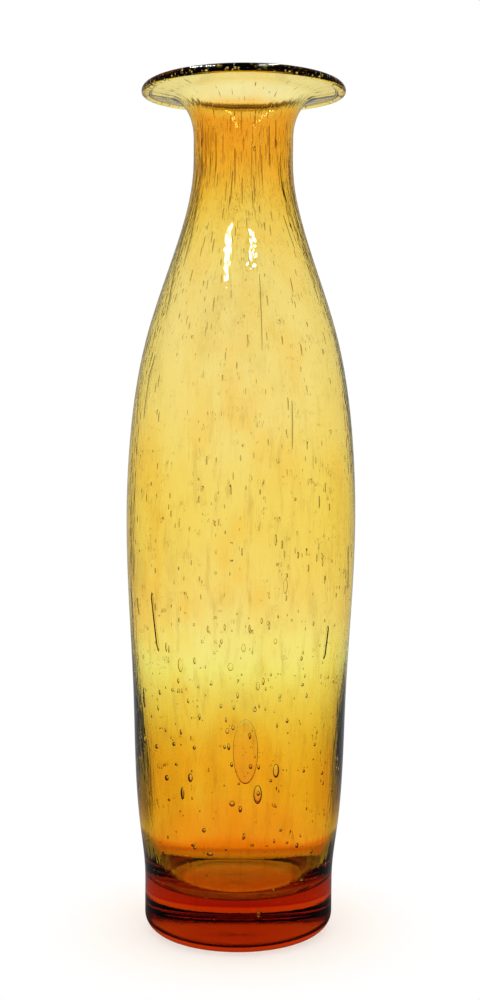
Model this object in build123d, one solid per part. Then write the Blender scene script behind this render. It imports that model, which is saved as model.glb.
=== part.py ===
from build123d import *
import os

# Bottle vase in amber blown glass, in millimetres: +Z up, origin at the centre of the underside.
# The vase is one gather of glass. Each zone that is shaped in its own turn is a solid of its own,
# cut from one wall section, and it meets the next zone face to face.

# Overall height
total_height = 300.0

# Foot: rounded heel, upright side, flat standing ring and the small ground hollow where the rod
# was cracked off
base_radius = 33.7
heel_reach = 6.0
heel_rise = 6.0
foot_height = 18.0
pontil_radius = 4.5
pontil_depth = 0.12

# Bowl of the inside above the solid bottom; rises are heights above the bowl's floor
floor_thickness = 16.8
bowl_depth = 21.2
bowl_flat_radius = 20.0
bowl_corner_radius = 27.2
bowl_corner_rise = 3.0
bowl_side_radius = 31.0
bowl_side_rise = 12.5

# Heights where the outline changes, as shares of the stretch from the bowl's top to the neck
flank_height_share = 0.1992
belly_height_share = 0.4661
upper_height_share = 0.6102
shoulder_height_share = 0.7373
root_height_share = 0.8814

# Outside radius and glass thickness at those heights; low is the bowl's top
low_radius = 35.7
low_wall = 3.5
flank_radius = 38.2
flank_wall = 1.6
belly_radius = 40.9
belly_wall = 1.65
upper_radius = 39.1
upper_wall = 1.25
shoulder_radius = 33.9
shoulder_wall = 1.15
root_radius = 23.0
root_wall = 1.5
neck_radius = 17.6
neck_wall = 2.4

# Straight neck and flared lip: the throat curves out of the neck into a nearly flat plate,
# and the bore opens to it in a wider turn
neck_length = 8.0
throat_rise = 14.1
throat_reach = 8.5
mouth_rise = 19.0
mouth_reach = 11.1
lip_radius = 36.1
lip_thickness = 2.0
lip_rise = 1.2

# Rolled rim: a round bead along the lip's edge
bead_radius = 1.6

# Seams between body, shoulder and neck, as shares of the same stretch
body_seam_share = 0.585
shoulder_seam_share = 0.9235

# Handle length of a round quarter turn, and the overrun of cuts
quarter_turn_share = 0.5523
overrun = 5.0

bead_centre_height = total_height - bead_radius
bead_centre_radius = lip_radius - bead_radius
rim_seam_radius = bead_centre_radius - bead_radius
lip_edge_underside = bead_centre_height - lip_thickness / 2
lip_root_underside = lip_edge_underside - lip_rise
throat_height = lip_root_underside - throat_rise
neck_height = throat_height - neck_length
bore_radius = neck_radius - neck_wall
bowl_top_height = floor_thickness + bowl_depth


def height_at(share):
    # Height at a share of the stretch from the bowl's top to the neck
    return bowl_top_height + share * (neck_height - bowl_top_height)


flank_height = height_at(flank_height_share)
belly_height = height_at(belly_height_share)
upper_height = height_at(upper_height_share)
shoulder_height = height_at(shoulder_height_share)
root_height = height_at(root_height_share)


def quarter_turn(start, corner, end):
    # A quarter of an oval that leaves start and reaches end along the two sides of corner
    first = Vector(start) + (Vector(corner) - Vector(start)) * quarter_turn_share
    second = Vector(end) + (Vector(corner) - Vector(end)) * quarter_turn_share
    return Bezier(start, first, second, end)


def outside_lines():
    # From the hollow under the foot, round the heel and up to the edge of the lip
    hollow = TangentArc((0, pontil_depth), (pontil_radius, 0), tangent=(1, 0))
    ring_edge = (base_radius - heel_reach, 0)
    heel_top = (base_radius, heel_rise)
    ring = Line((pontil_radius, 0), ring_edge)
    heel = quarter_turn(ring_edge, (base_radius, 0), heel_top)
    foot_side = Line(heel_top, (base_radius, foot_height))
    flank = Spline(
        (base_radius, foot_height),
        (low_radius, bowl_top_height),
        (flank_radius, flank_height),
        (belly_radius, belly_height),
        (upper_radius, upper_height),
        (shoulder_radius, shoulder_height),
        (root_radius, root_height),
        (neck_radius, neck_height),
        tangents=((0, 1), (0, 1)),
    )
    neck = Line((neck_radius, neck_height), (neck_radius, throat_height))
    lip_root = (neck_radius + throat_reach, lip_root_underside)
    throat = quarter_turn((neck_radius, throat_height), (neck_radius, lip_root_underside), lip_root)
    plate = Line(lip_root, (bead_centre_radius, lip_edge_underside))
    return [hollow, ring, heel, foot_side, flank, neck, throat, plate]


def inside_lines():
    # From the top of the lip, down the throat and wall, to the middle of the bowl's floor
    lip_root_top = lip_root_underside + lip_thickness
    lip_root = (bore_radius + mouth_reach, lip_root_top)
    mouth_low = (bore_radius, lip_root_top - mouth_rise)
    bowl_top = (low_radius - low_wall, bowl_top_height)
    bowl_flat = (bowl_flat_radius, floor_thickness)
    plate = Line((bead_centre_radius, lip_root_top + lip_rise), lip_root)
    mouth = quarter_turn(lip_root, (bore_radius, lip_root_top), mouth_low)
    bore = Line(mouth_low, (bore_radius, neck_height))
    wall = Spline(
        (bore_radius, neck_height),
        (root_radius - root_wall, root_height),
        (shoulder_radius - shoulder_wall, shoulder_height),
        (upper_radius - upper_wall, upper_height),
        (belly_radius - belly_wall, belly_height),
        (flank_radius - flank_wall, flank_height),
        bowl_top,
        tangents=((0, -1), (0, -1)),
    )
    bowl = Spline(
        bowl_top,
        (bowl_side_radius, floor_thickness + bowl_side_rise),
        (bowl_corner_radius, floor_thickness + bowl_corner_rise),
        bowl_flat,
        tangents=((0, -1), (-1, 0)),
    )
    floor = Line(bowl_flat, (0, floor_thickness))
    return [plate, mouth, bore, wall, bowl, floor]


def wall_section():
    # Half section of the whole wall, with x as radius and y as height
    lip_edge_top = lip_edge_underside + lip_thickness
    edge = Line((bead_centre_radius, lip_edge_underside), (bead_centre_radius, lip_edge_top))
    axis = Line((0, floor_thickness), (0, pontil_depth))
    wall = make_face(outside_lines() + [edge] + inside_lines() + [axis])
    bead = Pos(bead_centre_radius, bead_centre_height) * Circle(bead_radius)
    return wall + bead


def zone(section, low, high, inner_radius, outer_radius):
    # Turn the part of the section between two heights and two radii
    window = Rectangle(outer_radius - inner_radius, high - low, align=(Align.MIN, Align.MIN))
    piece = section & Pos(inner_radius, low) * window
    return revolve(Plane.XZ * piece, Axis.Z)


def write_part(name, shape):
    shape.label = name
    export_step(shape, f"parts/{name}.step")


def main():
    os.makedirs("parts", exist_ok=True)
    section = wall_section()
    widest = max(base_radius, belly_radius, lip_radius) + overrun
    bottom = -overrun
    top = total_height + overrun
    body_top_height = height_at(body_seam_share)
    shoulder_top_height = height_at(shoulder_seam_share)
    write_part("base", zone(section, bottom, bowl_top_height, 0, widest))
    write_part("body", zone(section, bowl_top_height, body_top_height, 0, widest))
    write_part("shoulder", zone(section, body_top_height, shoulder_top_height, 0, widest))
    write_part("neck", zone(section, shoulder_top_height, throat_height, 0, widest))
    write_part("flared_lip", zone(section, throat_height, top, 0, rim_seam_radius))
    write_part("rolled_rim", zone(section, throat_height, top, rim_seam_radius, widest))


main()
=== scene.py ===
import math
import bpy
import bmesh
import numpy as np
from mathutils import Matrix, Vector, noise


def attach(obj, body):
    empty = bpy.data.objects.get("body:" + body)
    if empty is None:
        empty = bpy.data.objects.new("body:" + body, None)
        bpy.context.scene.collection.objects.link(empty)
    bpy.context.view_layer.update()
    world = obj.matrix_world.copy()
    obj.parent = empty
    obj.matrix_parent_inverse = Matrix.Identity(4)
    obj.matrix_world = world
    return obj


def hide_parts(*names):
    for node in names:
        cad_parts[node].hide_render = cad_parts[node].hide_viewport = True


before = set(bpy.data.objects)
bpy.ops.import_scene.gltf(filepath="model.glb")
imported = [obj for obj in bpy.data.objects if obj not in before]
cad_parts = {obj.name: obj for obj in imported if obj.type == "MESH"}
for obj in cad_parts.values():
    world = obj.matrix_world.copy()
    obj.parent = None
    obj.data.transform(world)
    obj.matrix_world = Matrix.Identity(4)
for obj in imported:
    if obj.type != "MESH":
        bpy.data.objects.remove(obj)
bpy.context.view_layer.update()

mm = 0.001  # the scene is in metres, the sizes below are in millimetres

# The section of the blown wall. Radii and heights are those of the CAD solids.
wallSizes = {
    "totalHeight": 300.0,
    "baseRadius": 33.7,
    "heelReach": 6.0,          # the rounded heel, across and up
    "heelRise": 6.0,
    "footStraight": 18.0,      # the foot is upright up to here
    "pontilRadius": 4.5,
    "pontilDepth": 0.12,
    "floorThickness": 16.8,
    "bowlFlatRadius": 20.0,
    "bowlCorner": (27.2, 3.0),    # radius and height above the floor, where the corner meets the side
    "bowlSide": (31.0, 12.5),
    "bowlTop": 38.0,
    "low": (35.7, 3.5),        # radius and glass thickness at the top of the bowl
    "flank": (38.2, 1.6),
    "belly": (40.9, 1.65),
    "upper": (39.1, 1.25),
    "shoulder": (33.9, 1.15),
    "root": (23.0, 1.5),
    "neck": (17.6, 2.4),
    "neckLength": 8.0,
    "throatRise": 14.1,
    "throatReach": 8.5,
    "boreRise": 19.0,          # the wider turn of the inside, up to the top of the lip
    "boreReach": 11.1,
    "lipRadius": 36.1,
    "lipThickness": 2.0,
    "lipRise": 1.2,
    "beadRadius": 1.6,
}
heightShares = {"flank": 0.1992, "belly": 0.4661, "upper": 0.6102, "shoulder": 0.7373, "root": 0.8814}

# How the hand-made wall departs from a turned one, in millimetres
unevenness = {
    "lean": 2.0,               # the rim's centre stands this far to the right of the foot's
    "lipRise": 2.2,            # the far side of the lip stands this much higher
    "lipRiseFrom": 285.0,      # height where that begins, and over which stretch it grows
    "lipRiseRun": 12.0,
    "outerSwell": 0.16,        # long soft waves of the outside
    "outerSwellSize": 30.0,
    "outerStretch": 2.0,
    "outerSeed": 7.7,
    "innerSwell": 0.22,        # the inside, drawn into long upright waves
    "innerSwellSize": 14.0,
    "innerStretch": 5.0,
    "innerSeed": 3.1,
    "neckRibs": 0.16,          # upright ribs drawn into the inside of the neck
    "neckRibCount": 34.0,
    "neckRibRun": 40.0,
    "neckRibsBelow": 12.0,     # the ribs are deepest this far below the throat, and fade over neckRibReach
    "neckRibReach": 22.0,
    "footFade": 12.0,          # all of it fades out over these heights at the foot and the rim
    "rimFade": 4.0,
}

# How finely the section is cut up: points round the vase, steps in millimetres and points of the turns
meshDetail = {
    "around": 176,
    "bodyStep": 3.4,
    "plateStep": 1.0,
    "bowlStep": 1.0,
    "floorStep": 1.5,
    "pontilPoints": 8,
    "heelPoints": 16,
    "throatPoints": 14,
    "beadPoints": 16,
}


def smoothThrough(points, startWay, endWay, step):
    # Cubic curve through the points, with the given directions at its two ends
    p = np.array(points, float)
    gaps = np.linalg.norm(np.diff(p, axis=0), axis=1)
    n = len(p)
    a = np.zeros((n, n))
    b = np.zeros((n, 2))
    a[0, 0] = a[-1, -1] = 1.0
    b[0] = startWay
    b[-1] = endWay
    for i in range(1, n - 1):
        before, after = gaps[i - 1], gaps[i]
        a[i, i - 1], a[i, i], a[i, i + 1] = after, 2 * (before + after), before
        b[i] = 3 * (after * (p[i] - p[i - 1]) / before + before * (p[i + 1] - p[i]) / after)
    ways = np.linalg.solve(a, b)
    out = []
    for i in range(n - 1):
        count = max(2, round(gaps[i] / step))
        for k in range(count):
            u = k / count
            h = gaps[i]
            out.append(
                (2 * u**3 - 3 * u**2 + 1) * p[i] + (u**3 - 2 * u**2 + u) * h * ways[i]
                + (3 * u**2 - 2 * u**3) * p[i + 1] + (u**3 - u**2) * h * ways[i + 1]
            )
    return [tuple(q) for q in out]


def quarterTurn(start, corner, end, count):
    # A quarter of an oval that leaves start and reaches end along the two sides of corner
    out = []
    for k in range(count):
        angle = math.pi / 2 * k / count
        c, s = math.cos(angle), math.sin(angle)
        out.append(tuple(
            corner[i] + (start[i] - corner[i]) * (1 - s) + (end[i] - corner[i]) * (1 - c) for i in (0, 1)
        ))
    return out


def straight(start, end, step):
    length = math.dist(start, end)
    count = max(1, round(length / step))
    return [tuple(start[i] + (end[i] - start[i]) * k / count for i in (0, 1)) for k in range(count)]


def wallSection():
    # Points of the section, each a radius and a height: from the middle of the underside, round the
    # outside and the bead, and from there down the inside to the middle of the floor
    s, d = wallSizes, meshDetail
    step = d["bodyStep"]
    bowlTop = s["bowlTop"]
    beadHeight = s["totalHeight"] - s["beadRadius"]
    beadCentre = s["lipRadius"] - s["beadRadius"]
    edgeUnder = beadHeight - s["lipThickness"] / 2
    rootUnder = edgeUnder - s["lipRise"]
    throat = rootUnder - s["throatRise"]
    neck = throat - s["neckLength"]
    at = {name: bowlTop + share * (neck - bowlTop) for name, share in heightShares.items()}
    bore = s["neck"][0] - s["neck"][1]
    reach = s["neck"][0] + s["throatReach"]
    ring = s["baseRadius"] - s["heelReach"]
    dip = math.asin(s["lipThickness"] / 2 / s["beadRadius"])
    beadNear = beadCentre - s["beadRadius"] * math.cos(dip)
    names = ("flank", "belly", "upper", "shoulder", "root")

    dents = d["pontilPoints"]
    outer = [(s["pontilRadius"] * k / dents, s["pontilDepth"] * (1 - (k / dents) ** 2)) for k in range(dents)]
    outer += straight((s["pontilRadius"], 0), (ring, 0), step)
    outer += quarterTurn((ring, 0), (s["baseRadius"], 0), (s["baseRadius"], s["heelRise"]), d["heelPoints"])
    outer += straight((s["baseRadius"], s["heelRise"]), (s["baseRadius"], s["footStraight"]), step)
    outer += smoothThrough(
        [(s["baseRadius"], s["footStraight"]), (s["low"][0], bowlTop)]
        + [(s[n][0], at[n]) for n in names] + [(s["neck"][0], neck)],
        (0, 1), (0, 1), step)
    outer += straight((s["neck"][0], neck), (s["neck"][0], throat), step)
    outer += quarterTurn(
        (s["neck"][0], throat), (s["neck"][0], rootUnder), (reach, rootUnder), d["throatPoints"])
    outer += straight((reach, rootUnder), (beadNear, edgeUnder), d["plateStep"])
    for k in range(d["beadPoints"]):
        angle = -math.pi + dip + (2 * math.pi - 2 * dip) * k / d["beadPoints"]
        outer.append((beadCentre + s["beadRadius"] * math.cos(angle),
                      beadHeight + s["beadRadius"] * math.sin(angle)))
    top = rootUnder + s["lipThickness"]
    turn = bore + s["boreReach"]
    inner = straight((beadNear, edgeUnder + s["lipThickness"]), (turn, top), d["plateStep"])
    inner += quarterTurn((turn, top), (bore, top), (bore, top - s["boreRise"]), d["throatPoints"])
    inner += straight((bore, top - s["boreRise"]), (bore, neck), step)
    side = s["low"][0] - s["low"][1]
    inner += smoothThrough(
        [(bore, neck)] + [(s[n][0] - s[n][1], at[n]) for n in reversed(names)] + [(side, bowlTop)],
        (0, -1), (0, -1), step)
    inner += smoothThrough(
        [(side, bowlTop)] + [(s[n][0], s["floorThickness"] + s[n][1]) for n in ("bowlSide", "bowlCorner")]
        + [(s["bowlFlatRadius"], s["floorThickness"])],
        (0, -1), (-1, 0), d["bowlStep"])
    inner += straight((s["bowlFlatRadius"], s["floorThickness"]), (0, s["floorThickness"]), d["floorStep"])
    return outer, inner, throat


def waves(x, y, z, size, seed):
    # Soft waves of the given size in millimetres, between -1 and 1
    return noise.noise(Vector((x / size + seed, y / size - seed, z / size + 2 * seed)))


def leaning(x, y, z):
    # A point in millimetres, moved by the vase's lean and the lip's tilt, in metres
    u = unevenness
    grown = min(1.0, max(0.0, (z - u["lipRiseFrom"]) / u["lipRiseRun"]))
    rise = u["lipRise"] * max(0.0, y) / wallSizes["lipRadius"] * grown
    return Vector((x + u["lean"] * z / wallSizes["totalHeight"], y, z + rise)) * mm


def handMade(r, z, angle, isInner, throat):
    # A point of the turned section, moved as the glassworker's hand leaves it
    u = unevenness
    c, s = math.cos(angle), math.sin(angle)
    fade = min(1.0, z / u["footFade"]) * min(1.0, max(0.0, (wallSizes["totalHeight"] - z) / u["rimFade"]))
    if isInner:
        push = u["innerSwell"] * waves(
            r * c, r * s, z / u["innerStretch"], u["innerSwellSize"], u["innerSeed"])
        neckShare = math.exp(-((z - throat + u["neckRibsBelow"]) / u["neckRibReach"]) ** 2)
        around = u["neckRibCount"] / (2 * math.pi)
        ribs = noise.noise(Vector((c * around, s * around, z / u["neckRibRun"])))
        push += u["neckRibs"] * neckShare * ribs
    else:
        push = u["outerSwell"] * waves(
            r * c, r * s, z / u["outerStretch"], u["outerSwellSize"], u["outerSeed"])
    r = r + push * fade
    return leaning(r * c, r * s, z)


def closeRings(mesh, ends, rings):
    # Smooth faces over rings of points and the single point at either end
    around = len(rings[0])
    made = []
    for k in range(around):
        after = (k + 1) % around
        made.append(mesh.faces.new((ends[0], rings[0][after], rings[0][k])))
        made.append(mesh.faces.new((ends[1], rings[-1][k], rings[-1][after])))
        for low, high in zip(rings, rings[1:]):
            made.append(mesh.faces.new((low[k], low[after], high[after], high[k])))
    for face in made:
        face.normal_update()
        face.smooth = True
    return made


def buildWall(outer, inner, throat):
    around = meshDetail["around"]
    points = [(r, z, False) for r, z in outer] + [(r, z, True) for r, z in inner]
    mesh = bmesh.new()
    first = mesh.verts.new(Vector((0, 0, wallSizes["pontilDepth"])) * mm)
    last = mesh.verts.new(handMade(0.0, wallSizes["floorThickness"], 0.0, True, throat))
    rings = []
    for r, z, isInner in points[1:]:
        rings.append([
            mesh.verts.new(handMade(r, z, 2 * math.pi * k / around, isInner, throat)) for k in range(around)
        ])
    closeRings(mesh, (first, last), rings)
    print("wall rings", len(rings), "faces", len(mesh.faces))
    return mesh


# Blisters, foot bubbles and streaks that the photograph shows one by one, and a few for the back. Each
# azimuth is in degrees from the front, to the right. The blisters are azimuth, height, width and length
blisters = [
    (3.2, 71.2, 8.3, 22.0), (10.0, 56.4, 2.9, 6.5), (19.8, 64.2, 2.2, 4.8), (-3.7, 53.4, 1.9, 2.0),
    (-27.0, 61.4, 1.7, 3.1), (-42.8, 60.0, 1.5, 2.0), (-32.2, 55.6, 1.3, 4.4), (-4.7, 100.1, 1.8, 2.7),
    (1.7, 106.5, 1.5, 2.7), (9.1, 93.5, 1.3, 2.8), (7.7, 85.6, 1.3, 1.7), (-6.3, 78.3, 1.2, 2.0),
    (-3.3, 79.5, 1.2, 1.7), (20.8, 89.9, 1.0, 1.4), (-31.3, 99.8, 1.9, 4.7), (-60.5, 86.2, 2.2, 7.2),
    (-24.2, 71.9, 1.1, 1.3), (-50.0, 70.2, 1.5, 1.7), (-36.9, 72.3, 1.2, 1.4), (-18.8, 108.4, 0.9, 1.2),
    (-12.7, 104.8, 0.9, 1.1), (-21.3, 92.9, 0.9, 1.0), (-36.6, 91.0, 1.2, 1.2), (26.6, 155.9, 0.8, 1.1),
    (-11.9, 131.6, 0.8, 1.0), (-29.5, 210.2, 0.9, 1.2), (13.1, 275.5, 0.9, 1.7), (-56.6, 278.8, 1.2, 3.6),
    (41.3, 278.1, 0.7, 2.8), (36.5, 89.0, 0.9, 1.6), (-23.0, 114.0, 0.8, 1.0), (-31.2, 115.2, 0.8, 1.4),
    (-15.0, 111.6, 0.6, 0.8), (17.5, 108.5, 1.2, 1.9), (13.5, 114.8, 1.0, 1.4), (25.9, 115.4, 0.7, 1.0),
    (-19.6, 43.6, 1.3, 1.6), (-26.4, 37.9, 1.6, 1.0), (-16.4, 35.5, 2.2, 1.6), (22.0, 127.0, 1.6, 5.2),
    (17.0, 61.0, 1.0, 1.2), (-1.5, 118.0, 0.6, 0.8), (33.0, 104.0, 0.7, 1.2), (-2.0, 64.5, 0.5, 0.6),
    (4.6, 64.0, 0.5, 0.6), (3.0, 62.8, 0.4, 0.6),
]
# The bubbles in the foot, as azimuth, height, depth under the outside, and size
footBubbles = [
    (42.1, 23.6, 2.0, 2.0), (22.0, 22.0, 2.5, 1.4), (12.5, 14.2, 2.2, 2.6), (-19.2, 27.6, 2.4, 0.9),
    (13.8, 33.4, 2.2, 0.9), (-48.9, 32.6, 1.6, 1.6), (-23.1, 15.0, 1.5, 0.6), (-14.6, 12.4, 1.5, 0.6),
    (150.0, 13.0, 3.0, 2.2), (205.0, 19.0, 4.0, 1.4), (110.0, 10.0, 2.5, 1.2), (265.0, 24.0, 2.2, 1.8),
]
# The streaks, as the width, and the azimuth and height of the points that each runs through
streaks = [
    (1.6, (-49.2, 124.0), (-45.6, 103.4)), (1.6, (49.7, 112.4), (47.7, 100.6)),
    (1.0, (67.2, 139.1), (69.4, 123.2)), (0.4, (26.3, 189.0), (25.4, 172.3)),
    (0.5, (-64.7, 287.1), (-66.4, 276.9)), (0.45, (31.3, 284.5), (32.2, 270.0)),
    (0.5, (64.0, 246.0), (60.0, 224.0)), (0.4, (-12.0, 268.0), (-13.0, 256.0)),
    (0.45, (-10.0, 276.0), (-9.0, 262.0)), (0.3, (12.0, 232.0), (11.0, 205.0)),
    (0.4, (-34.0, 282.0), (-33.0, 268.0)), (0.35, (22.0, 274.0), (22.0, 262.0)),
    (1.0, (-64.0, 121.0), (-62.0, 115.0)), (0.7, (-56.9, 204.8), (-59.6, 197.9), (-60.0, 182.5)),
    (0.8, (-54.8, 287.0), (-56.2, 276.0), (-56.7, 268.0), (-60.0, 262.0), (-64.7, 254.4), (-65.0, 244.2),
     (-61.6, 234.5), (-56.7, 225.2), (-54.7, 216.8)),
    (0.6, (-54.3, 272.8), (-54.2, 267.9), (-56.0, 262.5), (-54.8, 256.4), (-51.4, 245.1), (-50.9, 235.1)),
    (0.4, (39.8, 286.4), (41.3, 282.5), (40.5, 276.0)), (0.35, (42.9, 253.1), (47.7, 240.9)),
]

# How they are shaped: depthShare is the most of the glass's thickness that one takes up, around and rings
# are its faces, and flat is how steep its edge is
bubbleShapes = {
    "blister": {"depthShare": 0.34, "around": 16, "rings": 10, "flat": 2.5},
    "largeBlister": {"depthShare": 0.16, "around": 36, "rings": 24, "flat": 5.0},
    "largeWidth": 5.0,         # a blister wider than this is a large one
    "placeShare": 0.55,        # how far through the glass a blister lies, from the inside
    "footBubble": {"heightShare": 0.9, "around": 14, "rings": 8},
    "streak": {"depthShare": 0.7, "depthToWidth": 1.8, "around": 6, "step": 1.6, "leastSteps": 14,
               "taper": 2.5, "bluntness": 0.5},
}

# What counts as the side of the wall: below these heights, or within this radius on the inside
sideLimits = {"outsideTop": 296.0, "insideTop": 290.0, "boreRadius": 26.6}


def sideRadii(outer, inner):
    # Radius of the outside and of the inside at a height, above the heel and below the lip
    s = sideLimits
    out = sorted((z, r) for r, z in outer if wallSizes["heelRise"] <= z <= s["outsideTop"])
    ins = sorted((z, r) for r, z in inner if r < s["boreRadius"] or z < s["insideTop"])
    outHeights, outRadii = [z for z, r in out], [r for z, r in out]
    insHeights, insRadii = [z for z, r in ins], [r for z, r in ins]
    return (lambda z: float(np.interp(z, outHeights, outRadii))), (
        lambda z: float(np.interp(z, insHeights, insRadii)))


def addVoid(mesh, centre, along, outward, length, width, depth, around, rings, flat=1.0):
    # A closed bubble whose faces point into it, away from the glass; a flat one is steep only at its edge
    along = along.normalized()
    outward = (outward - along * outward.dot(along)).normalized()
    across = along.cross(outward)
    ends = [mesh.verts.new(centre + along * length / 2 * e) for e in (-1, 1)]
    loops = []
    for j in range(1, rings):
        lift = -math.cos(math.pi * j / rings)
        wide = math.sin(math.pi * j / rings)
        loops.append([
            mesh.verts.new(centre + along * length / 2 * lift
                           + outward * depth / 2 * math.tanh(flat * wide * math.cos(a)) / math.tanh(flat)
                           + across * width / 2 * wide * math.sin(a))
            for a in (2 * math.pi * k / around for k in range(around))
        ])
    made = closeRings(mesh, ends, loops)
    middle = sum((f.calc_center_median() for f in made), Vector()) / len(made)
    spread = sum((f.calc_center_median() - middle).dot(f.normal) for f in made)
    if spread > 0:
        for f in made:
            f.normal_flip()


def addStreak(mesh, radii, width, *points):
    # A bubble drawn out into a long thread that follows the wall
    out, ins = radii
    s = bubbleShapes["streak"]
    azimuths, heights = [a for a, z in points], [z for a, z in points]
    steps = max(s["leastSteps"], round((heights[0] - heights[-1]) / s["step"]))
    path = []
    for j in range(steps + 1):
        u = j / steps
        z = heights[0] + (heights[-1] - heights[0]) * u
        a = math.radians(float(np.interp(-z, [-h for h in heights], azimuths)))
        thick = out(z) - ins(z)
        r = ins(z) + thick / 2
        radial = Vector((math.sin(a), -math.cos(a), 0))
        across = Vector((math.cos(a), math.sin(a), 0))
        deep = min(width * s["depthToWidth"], s["depthShare"] * thick)
        path.append((leaning(r * radial.x, r * radial.y, z), radial, across, deep, u))
    ends = [mesh.verts.new(path[0][0]), mesh.verts.new(path[-1][0])]
    loops = []
    for centre, radial, across, deep, u in path[1:-1]:
        full = min(1.0, math.sin(math.pi * u) * s["taper"]) ** s["bluntness"]
        loops.append([
            mesh.verts.new(
                centre + (radial * deep / 2 * math.cos(t) + across * width / 2 * math.sin(t)) * full * mm)
            for t in (2 * math.pi * k / s["around"] for k in range(s["around"]))
        ])
    made = closeRings(mesh, ends, loops)
    ring = [f for f in made if len(f.verts) == 4][0]
    nearest = min(path, key=lambda q: (q[0] - ring.calc_center_median()).length)[0]
    if (ring.calc_center_median() - nearest).dot(ring.normal) > 0:
        for f in made:
            f.normal_flip()


def addBlisters(mesh, outer, inner):
    radii = sideRadii(outer, inner)
    out, ins = radii
    for azimuth, height, width, length in blisters:
        s = bubbleShapes["largeBlister" if width > bubbleShapes["largeWidth"] else "blister"]
        a = math.radians(azimuth)
        thick = out(height) - ins(height)
        r = ins(height) + thick * bubbleShapes["placeShare"]
        slope = (out(height + 1) - out(height - 1)) / 2
        radial = Vector((math.sin(a), -math.cos(a), 0))
        along = Vector((radial.x * slope, radial.y * slope, 1))
        depth = min(width, thick * s["depthShare"])
        addVoid(mesh, leaning(r * radial.x, r * radial.y, height), along, radial,
                length * mm, width * mm, depth * mm, s["around"], s["rings"], s["flat"])
    s = bubbleShapes["footBubble"]
    for azimuth, height, under, size in footBubbles:
        a = math.radians(azimuth)
        r = out(height) - under
        radial = Vector((math.sin(a), -math.cos(a), 0))
        addVoid(mesh, leaning(r * radial.x, r * radial.y, height), Vector((0, 0, 1)), radial,
                size * s["heightShare"] * mm, size * mm, size * mm, s["around"], s["rings"])
    for streak in streaks:
        addStreak(mesh, radii, *streak)


# The fine seeds, by height: width, stretch, and how many there are; lengths in millimetres
seeds = {
    "densest": 0.5,            # seeds on a square millimetre where the crowd is 1
    "spacing": 0.5,
    "seed": 11,
    "around": 6,
    "rings": 4,
    "heights": [20.0, 60.0, 95.0, 150.0, 200.0, 250.0, 265.0, 284.0, 292.0, 297.0],
    "width": [0.85, 0.8, 0.7, 0.44, 0.32, 0.26, 0.24, 0.25, 0.3, 0.3],
    "stretch": [1.2, 1.5, 2.2, 4.0, 6.0, 10.0, 22.0, 18.0, 8.0, 7.0],
    "crowd": [0.03, 0.045, 0.05, 0.055, 0.065, 0.1, 0.27, 0.27, 0.14, 0.06],
    "smallness": 2.2,          # the higher, the more of them are small
    "leastWidthShare": 0.45,   # the smallest one, and how much wider the widest one is
    "widthShareRange": 1.3,
    "stretchShares": (0.45, 1.5),
    "depthShare": 0.42,        # the most of the glass's thickness that one takes up
    "driftShare": 0.8,         # how far they leave the middle of the glass, as a share of the room there
    "rimWidth": 0.5,
    "rimStretch": 1.3,
    "rimCrowd": 1.0,
    "rimRoom": 2.5,
    "rimReach": 0.95,          # the rim's seeds lie within this of the middle of the bead
}

# The sheet that the seeds are scattered on
seedSheet = {
    "around": 72,
    "lowest": 20.0,
    "highest": 295.1,
    "step": 3.0,
    "platePlaces": [(26.0, 297.2), (29.5, 297.8), (33.2, 298.4)],  # radius and height in the lip's plate
    "leastSteepness": 0.55,
}


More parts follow.
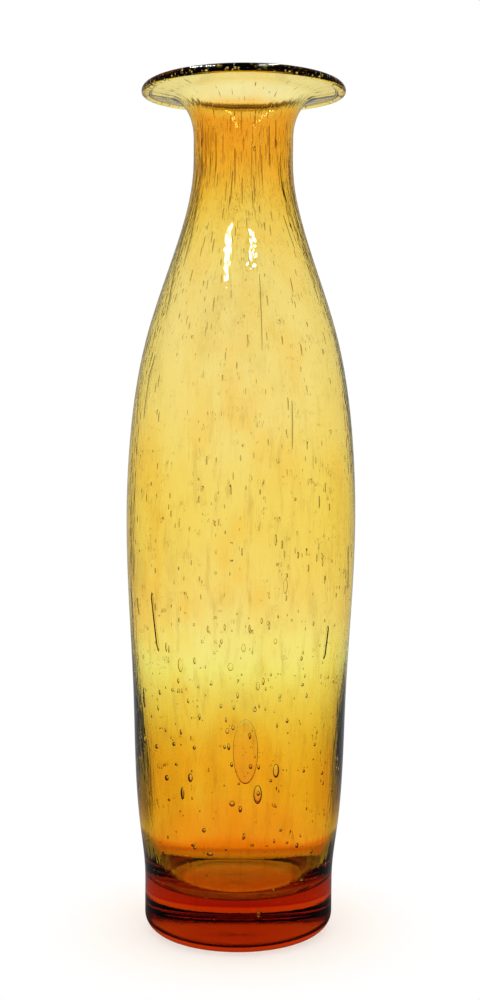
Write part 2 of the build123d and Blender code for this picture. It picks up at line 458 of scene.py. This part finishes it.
def seedTree():
    # Scatters stretched bubbles through the wall that it is given
    s = seeds
    tree = bpy.data.node_groups.new("seeds in the wall", "GeometryNodeTree")
    tree.interface.new_socket("Geometry", in_out="OUTPUT", socket_type="NodeSocketGeometry")
    tree.interface.new_socket("Geometry", in_out="INPUT", socket_type="NodeSocketGeometry")
    kinds = {"Densest": "Float", "Spacing": "Float", "Seed": "Int", "Sides": "Int", "Rings": "Int",
             "Material": "Material"}
    for name, kind in kinds.items():
        tree.interface.new_socket(name, in_out="INPUT", socket_type="NodeSocket" + kind)
    given = addNode(tree, "NodeGroupInput").outputs
    value = {}
    for name in ("room", "width", "stretch", "crowd"):
        value[name] = addNode(
            tree, "GeometryNodeInputNamedAttribute", {"data_type": "FLOAT"}, {"Name": name}).outputs[0]
    along = addNode(tree, "GeometryNodeInputNamedAttribute", {"data_type": "FLOAT_VECTOR"}, {"Name": "along"})
    spread = addNode(tree, "GeometryNodeDistributePointsOnFaces", {"distribute_method": "POISSON"}, {}, {
        "Mesh": given["Geometry"], "Distance Min": given["Spacing"], "Density Max": given["Densest"],
        "Density Factor": value["crowd"], "Seed": given["Seed"]})

    def chance(low, high, number):
        return addNode(
            tree, "FunctionNodeRandomValue", {"data_type": "FLOAT"}, {2: low, 3: high, 8: number}).outputs[1]

    def maths(kind, a, b):
        node = addNode(tree, "ShaderNodeMath", {"operation": kind})
        for socket, source in ((0, a), (1, b)):
            if isinstance(source, (int, float)):
                node.inputs[socket].default_value = source
            else:
                tree.links.new(source, node.inputs[socket])
        return node.outputs[0]

    small = maths("POWER", chance(0.0, 1.0, 1), s["smallness"])
    widthShare = maths("ADD", maths("MULTIPLY", small, s["widthShareRange"]), s["leastWidthShare"])
    wide = maths("MULTIPLY", value["width"], widthShare)
    deep = maths("MINIMUM", wide, maths("MULTIPLY", value["room"], s["depthShare"]))
    length = maths("MULTIPLY", maths("MULTIPLY", wide, value["stretch"]), chance(*s["stretchShares"], 2))
    size = addNode(tree, "ShaderNodeCombineXYZ", {}, {}, {0: deep, 1: wide, 2: length})
    free = maths("MULTIPLY", maths("SUBTRACT", value["room"], deep), s["driftShare"])
    sideways = maths("MULTIPLY", chance(-0.5, 0.5, 3), free)
    shift = addNode(tree, "ShaderNodeVectorMath", {"operation": "SCALE"}, {}, {
        "Vector": spread.outputs["Normal"], "Scale": sideways})
    placed = addNode(tree, "GeometryNodeSetPosition", {}, {}, {
        "Geometry": spread.outputs["Points"], "Offset": shift.outputs["Vector"]})
    upright = addNode(tree, "FunctionNodeAlignRotationToVector", {"axis": "Z"}, {}, {
        "Vector": along.outputs[0]})
    facing = addNode(tree, "FunctionNodeAlignRotationToVector", {"axis": "X", "pivot_axis": "Z"}, {}, {
        "Rotation": upright.outputs[0], "Vector": spread.outputs["Normal"]})
    ball = addNode(tree, "GeometryNodeMeshUVSphere", {}, {"Radius": 0.5},
                   {"Segments": given["Sides"], "Rings": given["Rings"]})
    each = addNode(tree, "GeometryNodeInstanceOnPoints", {}, {}, {
        "Points": placed.outputs["Geometry"], "Instance": ball.outputs["Mesh"], "Rotation": facing.outputs[0],
        "Scale": size.outputs[0]})
    real = addNode(tree, "GeometryNodeRealizeInstances", {}, {}, {"Geometry": each.outputs[0]})
    turned = addNode(tree, "GeometryNodeFlipFaces", {}, {}, {"Mesh": real.outputs[0]})
    soft = addNode(tree, "GeometryNodeSetShadeSmooth", {}, {}, {"Geometry": turned.outputs[0]})
    glass = addNode(tree, "GeometryNodeSetMaterial", {}, {}, {
        "Geometry": soft.outputs[0], "Material": given["Material"]})
    addNode(tree, "NodeGroupOutput", {}, {}, {"Geometry": glass.outputs[0]})
    return tree


def seedHost(outer, inner):
    # A sheet through the middle of the wall and one through the rim, that say how the seeds lie there
    s, w, sheet = seeds, wallSizes, seedSheet
    out, ins = sideRadii(outer, inner)
    heights = [float(h) for h in np.arange(sheet["lowest"], sheet["highest"], sheet["step"])]
    path = [((out(z) + ins(z)) / 2, z, out(z) - ins(z)) for z in heights]
    path += [(r, z, w["lipThickness"]) for r, z in sheet["platePlaces"]]
    verts, faces = [], []
    data = {name: [] for name in ("room", "width", "stretch", "crowd", "along")}
    turns = sheet["around"]

    def ring(r, z, room, values, ahead):
        for k in range(turns):
            a = 2 * math.pi * k / turns
            verts.append(leaning(r * math.cos(a), r * math.sin(a), z))
            data["room"].append(room * mm)
            for name, v in zip(("width", "stretch", "crowd"), values):
                data[name].append(v)
            data["along"].append(ahead(a))

    def strip(first):
        for k in range(turns):
            after = (k + 1) % turns
            faces.append((first + k, first + after, first + turns + after, first + turns + k))

    for i, (r, z, room) in enumerate(path):
        before, after = path[max(0, i - 1)], path[min(len(path) - 1, i + 1)]
        dr, dz = after[0] - before[0], after[1] - before[1]
        values = [float(np.interp(z, s["heights"], s[name])) for name in ("width", "stretch", "crowd")]
        values[0] *= mm
        steep = abs(dz) / math.hypot(dr, dz)
        ring(r, z, room * max(steep, sheet["leastSteepness"]), values,
             lambda a: (dr * math.cos(a), dr * math.sin(a), dz))
        if i:
            strip((i - 1) * turns)
    start = len(verts)
    middle = w["lipRadius"] - w["beadRadius"]
    for r in (middle - s["rimReach"], middle + s["rimReach"]):
        ring(r, w["totalHeight"] - w["beadRadius"], s["rimRoom"],
             (s["rimWidth"] * mm, s["rimStretch"], s["rimCrowd"]),
             lambda a: (-math.sin(a), math.cos(a), 0.0))
    strip(start)
    mesh = bpy.data.meshes.new("seed sheet")
    mesh.from_pydata([tuple(v) for v in verts], [], faces)
    for name, values in data.items():
        if name == "along":
            layer = mesh.attributes.new(name, "FLOAT_VECTOR", "POINT")
            layer.data.foreach_set("vector", [c for v in values for c in v])
        else:
            layer = mesh.attributes.new(name, "FLOAT", "POINT")
            layer.data.foreach_set("value", values)
    return mesh


def makeSeeds(outer, inner, material):
    s = seeds
    host = bpy.data.objects.new("seed_host", seedHost(outer, inner))
    bpy.context.scene.collection.objects.link(host)
    tree = seedTree()
    scatter = host.modifiers.new("seeds", "NODES")
    scatter.node_group = tree
    inputs = {"Densest": s["densest"] / mm ** 2, "Spacing": s["spacing"] * mm, "Seed": s["seed"],
              "Sides": s["around"], "Rings": s["rings"], "Material": material}
    for socket in tree.interface.items_tree:
        if socket.in_out == "INPUT" and socket.name in inputs:
            scatter[socket.identifier] = inputs[socket.name]
    host.update_tag()
    graph = bpy.context.evaluated_depsgraph_get()
    made = bpy.data.meshes.new_from_object(host.evaluated_get(graph))
    host.modifiers.remove(scatter)
    bpy.data.objects.remove(host)
    print("seeds", len(made.polygons) // (s["around"] * s["rings"]))
    return made


def linear(hexColour):
    # The sRGB curve
    parts = [int(hexColour[i:i + 2], 16) / 255 for i in (0, 2, 4)]
    return [v / 12.92 if v <= 0.04045 else ((v + 0.055) / 1.055) ** 2.4 for v in parts] + [1.0]


def addNode(tree, kind, settings=None, inputs=None, links=None):
    node = tree.nodes.new(kind)
    for name, value in (settings or {}).items():
        setattr(node, name, value)
    for name, value in (inputs or {}).items():
        node.inputs[name].default_value = value
    for name, source in (links or {}).items():
        tree.links.new(source, node.inputs[name])
    return node


def levels(tree, stops, source):
    # A level or colour that follows the source through the given stops
    ramp = addNode(tree, "ShaderNodeValToRGB", {}, {}, {"Fac": source})
    while len(ramp.color_ramp.elements) < len(stops):
        ramp.color_ramp.elements.new(0.5)  # its place is set below
    for element, (place, level) in zip(ramp.color_ramp.elements, stops):
        element.position = place
        element.color = linear(level) if isinstance(level, str) else (level, level, level, 1)
    return ramp.outputs["Color"]


def choose(tree, switch, plain, chosen, blend="MIX"):
    # The plain colour where the switch is 0, and the chosen one where it is 1
    both = addNode(tree, "ShaderNodeMix", {"data_type": "RGBA", "blend_type": blend})
    for source, socket in ((switch, 0), (plain, 6), (chosen, 7)):
        if isinstance(source, bpy.types.NodeSocket):
            tree.links.new(source, both.inputs[socket])
        else:
            both.inputs[socket].default_value = source
    return both.outputs[2]


# Amber soda-lime glass, blown by hand and fire-polished: clear and sharp, pale yellow where the wall is thin,
# orange at the neck and a deep red-orange through the solid foot
amberGlass = {
    "ior": 1.51,
    "roughness": 0.0,
    # share of the height, and the surface's tint there: deepest in the neck, warm at the bowl, pale elsewhere
    "tints": [(0.0, "FFFFF4"), (0.05, "FFFFF0"), (0.1, "FFF2DE"), (0.17, "FFF2DE"), (0.2, "FFF6E2"),
              (0.23, "FFFBE4"), (0.28, "FFFFE6"), (0.33, "FFFFDC"), (0.38, "FFF5D2"), (0.5, "FFF7DA"),
              (0.6, "FFF8E1"), (0.7, "FFF9E5"), (0.81, "FFF8E2"), (0.85, "FFF6DF"), (0.88, "FFF0D0"),
              (0.905, "FFE6BC"), (0.94, "FFDC9C"), (0.969, "FFD890"), (0.978, "FFFAE6")],
    "streakScale": 0.5,        # the haze and the ripple come out about twice as large as their sizes below
    "streakRoughness": 0.6,
    # streaky haze: its size in mm across and along, where it starts and is full, how strong, and its colour
    "smudges": [((9.0, 26.0), 0.57, 0.75, 0.3, "B2A684"), ((1.3, 9.0), 0.55, 0.72, 0.34, "B8A070"),
                ((10.0, 22.0), 0.48, 0.66, 0.5, "FFE49A")],
    "smudgeDetail": 3.0,
    # share of the height, and how strong the haze is there
    "smudgeShares": [(0.0, 0.4), (0.1, 1.0), (0.5, 1.0), (0.65, 0.6), (0.97, 0.6), (1.0, 0.1)],
    # fine ripple of the surface: its size in mm across and along, its depth in mm, and its share by height
    "rippleSize": (0.45, 1.8),
    "rippleDepth": 0.056,
    "rippleShares": [(0.0, 0.2), (0.5, 0.35), (0.72, 1.0), (0.88, 0.8), (0.925, 0.15), (1.0, 0.15)],
    "cordCount": 26.0,         # upright cords round the neck, drawn as the gather was pulled
    "cordRun": 16.0,           # mm along one cord
    "cordDepth": 0.2,          # mm
    "cordDetail": 2.0,
    "cordRoughness": 0.55,
    # share of the height, and how deep the cords are there
    "cordShares": [(0.0, 0.3), (0.773, 0.3), (0.873, 1.0), (0.925, 1.0), (0.95, 0.3)],
    "absorbColour": "FCEF00",  # the colour that the glass's thickness gives, and how fast
    "absorbPerMetre": 400.0,
}


def streakPattern(tree, place, size, detail):
    # A pattern of soft upright streaks, with their width and length in mm
    across, along = 1 / (size[0] * mm), 1 / (size[1] * mm)
    scaled = addNode(tree, "ShaderNodeVectorMath", {"operation": "MULTIPLY"}, {1: (across, across, along)},
                     {0: place.outputs["Object"]})
    spots = addNode(tree, "ShaderNodeTexNoise", {}, {
        "Scale": amberGlass["streakScale"], "Detail": detail, "Roughness": amberGlass["streakRoughness"]},
        {"Vector": scaled.outputs["Vector"]})
    return spots.outputs[0]


def amberMaterial():
    g = amberGlass
    material = bpy.data.materials.new("blown amber soda-lime glass")
    material.use_nodes = True
    tree = material.node_tree
    tree.nodes.clear()
    place = addNode(tree, "ShaderNodeTexCoord")
    flat = addNode(tree, "ShaderNodeVectorMath", {"operation": "MULTIPLY"}, {1: (1, 1, 0)},
                   {0: place.outputs["Object"]})
    outwards = addNode(tree, "ShaderNodeVectorMath", {"operation": "NORMALIZE"}, {},
                       {0: flat.outputs["Vector"]})
    turns = addNode(tree, "ShaderNodeVectorMath", {"operation": "SCALE"}, {"Scale": g["cordCount"] / 2},
                    {"Vector": outwards.outputs["Vector"]})
    up = addNode(tree, "ShaderNodeVectorMath", {"operation": "MULTIPLY"},
                 {1: (0, 0, 1 / (g["cordRun"] * mm))}, {0: place.outputs["Object"]})
    way = addNode(tree, "ShaderNodeVectorMath", {"operation": "ADD"}, {},
                  {0: turns.outputs["Vector"], 1: up.outputs["Vector"]})
    cords = addNode(tree, "ShaderNodeTexNoise", {}, {
        "Scale": 1.0, "Detail": g["cordDetail"], "Roughness": g["cordRoughness"]},
        {"Vector": way.outputs["Vector"]})
    height = addNode(tree, "ShaderNodeSeparateXYZ", {}, {}, {0: place.outputs["Object"]})
    share = addNode(tree, "ShaderNodeMath", {"operation": "DIVIDE"}, {1: wallSizes["totalHeight"] * mm},
                    {0: height.outputs["Z"]})
    depth = addNode(tree, "ShaderNodeMath", {"operation": "MULTIPLY"}, {1: g["cordDepth"] * mm},
                    {0: levels(tree, g["cordShares"], share.outputs[0])})
    bump = addNode(tree, "ShaderNodeBump", {}, {"Strength": 1.0},
                   {"Height": cords.outputs[0], "Distance": depth.outputs[0]})
    fine = streakPattern(tree, place, g["rippleSize"], 0.0)
    shallow = addNode(tree, "ShaderNodeMath", {"operation": "MULTIPLY"}, {1: g["rippleDepth"] * mm},
                      {0: levels(tree, g["rippleShares"], share.outputs[0])})
    rippled = addNode(tree, "ShaderNodeBump", {}, {"Strength": 1.0},
                      {"Height": fine, "Distance": shallow.outputs[0], "Normal": bump.outputs["Normal"]})
    stained = levels(tree, g["tints"], share.outputs[0])
    for size, start, full, most, colour in g["smudges"]:
        haze = streakPattern(tree, place, size, g["smudgeDetail"])
        cover = addNode(tree, "ShaderNodeMapRange", {"interpolation_type": "SMOOTHSTEP"}, {
            "From Min": start, "From Max": full, "To Min": 0.0, "To Max": most}, {"Value": haze})
        there = addNode(tree, "ShaderNodeMath", {"operation": "MULTIPLY"}, {}, {
            0: cover.outputs["Result"], 1: levels(tree, g["smudgeShares"], share.outputs[0])})
        stained = choose(tree, there.outputs[0], stained, linear(colour), "MULTIPLY")
    shader = addNode(tree, "ShaderNodeBsdfPrincipled", {}, {
        "Roughness": g["roughness"], "IOR": g["ior"], "Transmission Weight": 1.0},
        {"Base Color": stained, "Normal": rippled.outputs["Normal"]})
    absorb = addNode(tree, "ShaderNodeVolumeAbsorption", {}, {
        "Color": linear(g["absorbColour"]), "Density": g["absorbPerMetre"]})
    addNode(tree, "ShaderNodeOutputMaterial", {}, {}, {
        "Surface": shader.outputs[0], "Volume": absorb.outputs[0]})
    return material


def buildVase():
    material = amberMaterial()
    outer, inner, throat = wallSection()
    mesh = buildWall(outer, inner, throat)
    addBlisters(mesh, outer, inner)
    made = makeSeeds(outer, inner, material)
    mesh.from_mesh(made)
    bpy.data.meshes.remove(made)
    data = bpy.data.meshes.new("seeded_glass_vase")
    mesh.to_mesh(data)
    mesh.free()
    vase = bpy.data.objects.new("seeded_glass_vase", data)
    bpy.context.scene.collection.objects.link(vase)
    data.materials.append(material)
    data.calc_loop_triangles()
    print("vase triangles", len(data.loop_triangles))
    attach(vase, "root")
    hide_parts("base", "body", "shoulder", "neck", "flared_lip", "rolled_rim")


# The plain studio is white for the eye. What the glass mirrors is dimmer, with a dark ceiling overhead, and
# what it shows of the floor is painted with the amber light and the shadow that the vase would throw there
studio = {
    "floorRadius": 0.5,        # metres
    "floorSegments": 96,
    "floorDrop": 0.05,         # mm that the floor lies under the foot, so that the two never coincide
    "floorColour": "FFF5E4",
    "diffuseLight": 1.15,      # the world's level for the floor's matt share, which takes the shadow
    "floorGlow": 0.55,         # the share of the floor's own white next to the foot
    "nearRadius": 0.034,       # metres, where that share begins to grow, and where it is the whole
    "farRadius": 0.075,
    # distance from the vase's axis in metres, and the painted light and shadow that rays from the glass find
    # on the floor there: amber under the foot, dark brown round the heel, then orange, and white far off
    "paintedGlowAndShadow": [(0.0, "E9B07A"), (0.024, "E9B07A"), (0.029, "3A1A04"), (0.037, "5A2808"), (0.044, "C05A10"),
             (0.078, "D48400"), (0.092, "F4A010"), (0.108, "FFAE60"), (0.123, "FFCDB0"), (0.139, "FFDABE"),
             (0.157, "FFDFC8"), (0.2, "FFEEE0"), (0.34, "FFF6E2"), (0.42, "FFFFF4"), (0.5, "FFFFFF")],
    # the same, and the floor's level for rays that the glass mirrors inside itself, near black under the foot
    # as a painted shadow
    "floorMirroredInside": [(0.0, 0.05), (0.034, 0.05), (0.045, 0.25), (0.2, 0.25), (0.45, 0.8)],
    # how steeply a ray rises, and the world's level, for rays mirrored inside the glass
    "mirroredInside": [(0.0, 0.85), (0.16, 0.85), (0.3, 0.74), (0.5, 0.7), (0.8, 0.4), (0.95, 0.05)],
    # the same for those that also pass more than this many faces of the glass
    "mirroredInBowl": [(0.0, 0.85), (0.16, 0.8), (0.28, 0.12), (0.6, 0.08)],
    "facesPassed": 3.5,
    # from 0 at the front to 1 at the back, and the level for rays mirrored by the outer face
    "mirroredOutside": [(0.0, 0.02), (0.45, 0.03), (0.6, 0.05), (0.75, 0.1), (0.9, 0.2), (1.0, 0.35)],
}


def mirroring(tree):
    # The ray's path, and whether it was mirrored inside the glass or only by its outer face
    path = addNode(tree, "ShaderNodeLightPath")
    glossy = addNode(tree, "ShaderNodeMath", {"operation": "MINIMUM"}, {1: 1.0},
                     {0: path.outputs["Glossy Depth"]})
    entered = addNode(tree, "ShaderNodeMath", {"operation": "MINIMUM"}, {1: 1.0},
                      {0: path.outputs["Transmission Depth"]})
    inside = addNode(tree, "ShaderNodeMath", {"operation": "MULTIPLY"}, {},
                     {0: glossy.outputs[0], 1: entered.outputs[0]})
    outside = addNode(tree, "ShaderNodeMath", {"operation": "SUBTRACT"}, {},
                      {0: glossy.outputs[0], 1: inside.outputs[0]})
    return path, inside.outputs[0], outside.outputs[0]


def fromFrontToBack(tree, direction):
    # 0 for a direction to the front, 1 for one to the back
    part = addNode(tree, "ShaderNodeSeparateXYZ", {}, {}, {0: direction})
    share = addNode(tree, "ShaderNodeMapRange", {}, {"From Min": -1.0, "From Max": 1.0},
                    {"Value": part.outputs["Y"]})
    return share.outputs["Result"]


def buildFloor():
    s = studio
    mesh = bmesh.new()
    bmesh.ops.create_circle(mesh, cap_ends=True, segments=s["floorSegments"], radius=s["floorRadius"])
    bmesh.ops.translate(mesh, verts=mesh.verts, vec=(0, 0, -s["floorDrop"] * mm))
    data = bpy.data.meshes.new("floor")
    mesh.to_mesh(data)
    mesh.free()
    floor = bpy.data.objects.new("floor", data)
    bpy.context.scene.collection.objects.link(floor)
    material = bpy.data.materials.new("white studio floor")
    material.use_nodes = True
    tree = material.node_tree
    tree.nodes.clear()
    place = addNode(tree, "ShaderNodeTexCoord")
    far = addNode(tree, "ShaderNodeVectorMath", {"operation": "LENGTH"}, {}, {0: place.outputs["Object"]})
    blend = addNode(tree, "ShaderNodeMapRange", {"interpolation_type": "SMOOTHSTEP"}, {
        "From Min": s["nearRadius"], "From Max": s["farRadius"], "To Min": s["floorGlow"], "To Max": 1.0},
        {"Value": far.outputs["Value"]})
    way = addNode(tree, "ShaderNodeVectorMath", {"operation": "NORMALIZE"}, {}, {0: place.outputs["Object"]})
    path, inside, outside = mirroring(tree)
    # painted amber light and shadow of the vase on the floor, which only rays from the glass find; the camera
    # gets plain white
    paintedGlowAndShadowColour = levels(tree, s["paintedGlowAndShadow"], far.outputs["Value"])
    seen = choose(tree, path.outputs["Is Camera Ray"], paintedGlowAndShadowColour, (1, 1, 1, 1))
    seen = choose(tree, inside, seen, levels(tree, s["floorMirroredInside"], far.outputs["Value"]))
    paintedGlowAndShadow = addNode(tree, "ShaderNodeEmission", {}, {}, {"Color": seen})
    matt = addNode(tree, "ShaderNodeBsdfDiffuse", {}, {"Color": linear(s["floorColour"])})
    both = addNode(tree, "ShaderNodeMixShader", {}, {}, {
        0: blend.outputs["Result"], 1: matt.outputs[0], 2: paintedGlowAndShadow.outputs[0]})
    dark = addNode(tree, "ShaderNodeEmission", {}, {}, {
        "Color": levels(tree, s["mirroredOutside"], fromFrontToBack(tree, way.outputs["Vector"]))})
    whole = addNode(tree, "ShaderNodeMixShader", {}, {}, {0: outside, 1: both.outputs[0], 2: dark.outputs[0]})
    addNode(tree, "ShaderNodeOutputMaterial", {}, {}, {"Surface": whole.outputs[0]})
    data.materials.append(material)


def buildWorld():
    s = studio
    world = bpy.data.worlds.new("white studio")
    bpy.context.scene.world = world
    world.use_nodes = True
    tree = world.node_tree
    tree.nodes.clear()
    path, inside, outside = mirroring(tree)
    crossed = addNode(tree, "ShaderNodeMath", {"operation": "GREATER_THAN"}, {1: s["facesPassed"]},
                      {0: path.outputs["Transmission Depth"]})
    inBowl = addNode(tree, "ShaderNodeMath", {"operation": "MULTIPLY"}, {},
                     {0: inside, 1: crossed.outputs[0]})
    way = addNode(tree, "ShaderNodeTexCoord")
    part = addNode(tree, "ShaderNodeSeparateXYZ", {}, {}, {0: way.outputs["Generated"]})
    seen = choose(tree, inside, (1, 1, 1, 1), levels(tree, s["mirroredInside"], part.outputs["Z"]))
    seen = choose(tree, inBowl.outputs[0], seen, levels(tree, s["mirroredInBowl"], part.outputs["Z"]))
    back = fromFrontToBack(tree, way.outputs["Generated"])
    seen = choose(tree, outside, seen, levels(tree, s["mirroredOutside"], back))
    level = choose(tree, path.outputs["Diffuse Depth"], seen, [s["diffuseLight"]] * 3 + [1])
    light = addNode(tree, "ShaderNodeBackground", {}, {}, {"Color": level})
    addNode(tree, "ShaderNodeOutputWorld", {}, {}, {"Surface": light.outputs[0]})


# Two narrow tubes of light high over the vase, left and right of it, for the broken upright highlights.
# They run from the front to the back and show only as streaks of light on the glass; lengths in millimetres
lamps = {
    "lamp_left": {"aside": -300.0, "above": 816.0, "from": -590.0, "to": 130.0, "width": 26.0, "watts": 9.5},
    "lamp_right": {"aside": 205.0, "above": 880.0, "from": -670.0, "to": 60.0, "width": 28.0, "watts": 12.0},
}


def buildLamps():
    for name, place in lamps.items():
        data = bpy.data.lights.new(name, "AREA")
        data.shape = "RECTANGLE"
        data.size = place["width"] * mm
        data.size_y = (place["to"] - place["from"]) * mm
        data.energy = place["watts"]
        lamp = bpy.data.objects.new(name, data)
        lamp.location = Vector((place["aside"], (place["from"] + place["to"]) / 2, place["above"])) * mm
        lamp.visible_camera = False
        lamp.visible_diffuse = False
        lamp.visible_transmission = False
        bpy.context.scene.collection.objects.link(lamp)


# The photograph's view: the focal length in pixels of a frame of this height, and the camera's place in
# millimetres, looking slightly down
view = {
    "frameHeight": 1000,
    "focalPixels": 1429.3,
    "sensorHeight": 36.0,
    "distance": 511.8,
    "height": 177.0,
    "across": 0.7,
    "pitchDegrees": 2.566,
    "clipStart": 10.0,
}


def buildCamera():
    v = view
    data = bpy.data.cameras.new("camera")
    data.sensor_fit = "VERTICAL"
    data.sensor_height = v["sensorHeight"]
    data.lens = v["focalPixels"] * data.sensor_height / v["frameHeight"]
    data.clip_start = v["clipStart"] * mm
    camera = bpy.data.objects.new("camera", data)
    camera.location = Vector((v["across"], -v["distance"], v["height"])) * mm
    camera.rotation_euler = (math.radians(90 - v["pitchDegrees"]), 0, 0)
    bpy.context.scene.collection.objects.link(camera)
    bpy.context.scene.camera = camera


bpy.context.scene.view_settings.view_transform = "Standard"
buildFloor()
buildWorld()
buildLamps()
buildCamera()
print("stage ready")
buildVase()
print("vase ready")
